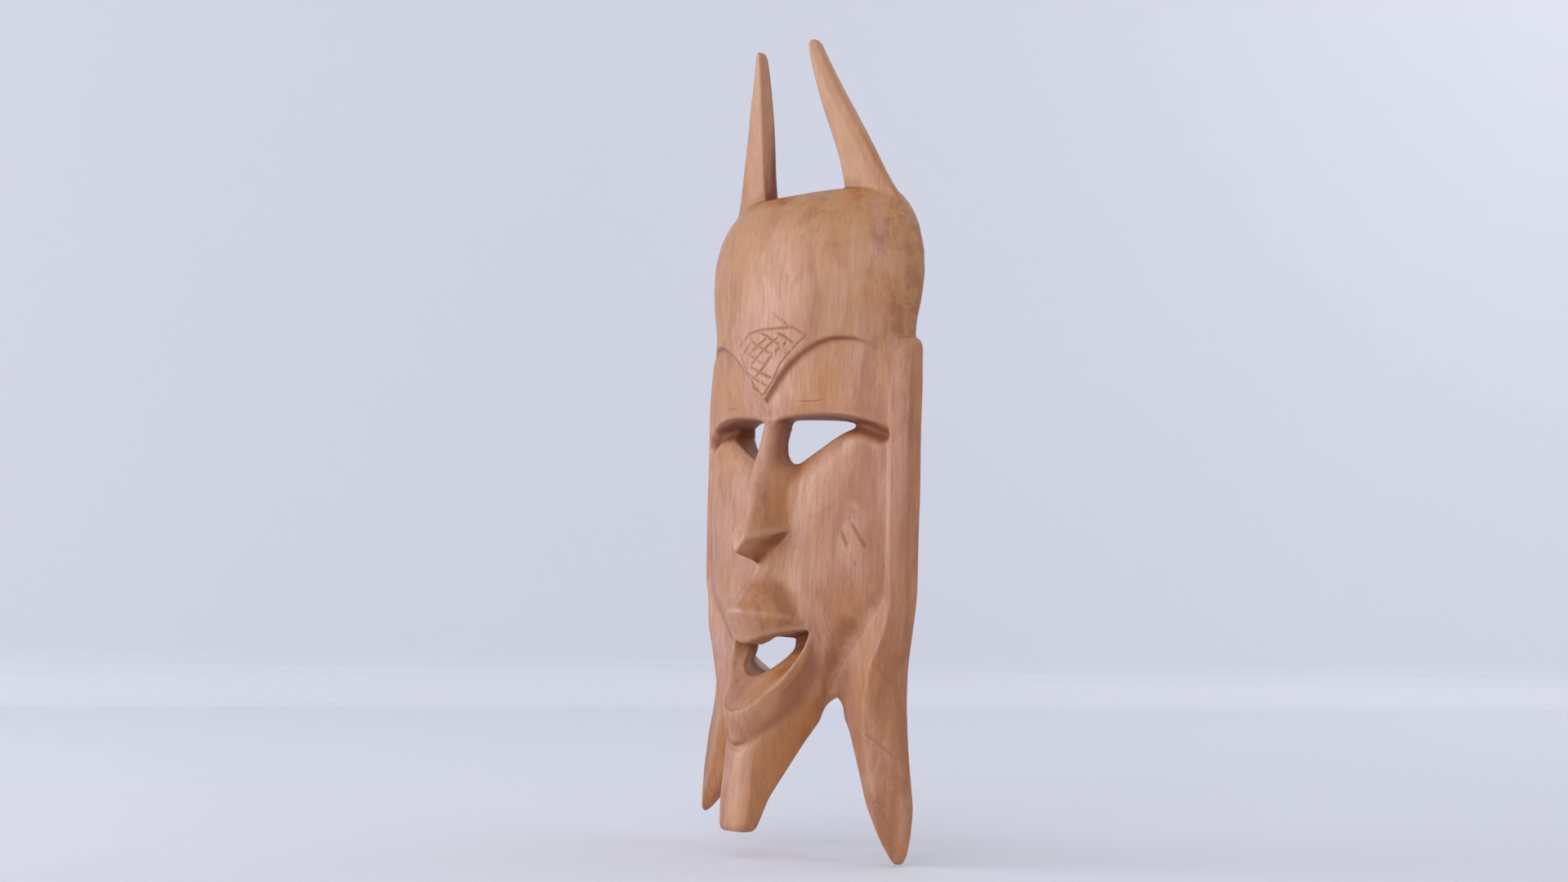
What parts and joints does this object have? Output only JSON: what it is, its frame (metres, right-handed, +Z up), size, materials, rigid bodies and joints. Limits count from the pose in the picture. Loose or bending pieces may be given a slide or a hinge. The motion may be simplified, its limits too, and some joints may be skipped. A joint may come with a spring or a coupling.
{
  "type": "carved horned wall mask",
  "caption": "Long carved wooden wall mask with tall horns, hatched brow, pierced eyes and mouth, wedge nose, slab chin and pointed side lappets, hollow behind, with a ring hanger.",
  "frame": {"origin": "under the middle of the whole part's box, at the height of the lower lappet tip", "axes": "+Z up the grain to the horn tips, -Y out of the face, +Y towards the wall, +X to the left-hand side of the face as the face itself would say"},
  "size_m": [0.161, 0.0648, 0.448],
  "materials": {
    "carved_wood": "satin, waxed reddish-brown hardwood with upright grain",
    "hanger_brass": "satin, lightly tarnished",
    "ring_brass": "polished wire",
    "screw_steel": "zinc plated",
    "felt": "dark pressed felt"
  },
  "bodies": {
    "mask": {"mask_body": "carved_wood", "hanger_strap": "hanger_brass", "screw_upper": "screw_steel", "screw_lower": "screw_steel", "pad_upper_left": "felt", "pad_upper_right": "felt", "pad_lower_left": "felt", "pad_lower_right": "felt"},
    "ring": {"hanger_ring": "ring_brass"}
  },
  "joints": [
    {"name": "ring_swing", "type": "hinge", "parent": "mask", "child": "ring", "pos_m": [0, 0.02973, 0.336], "axis": [1, 0, 0], "range_deg": [0, 165]}
  ]
}
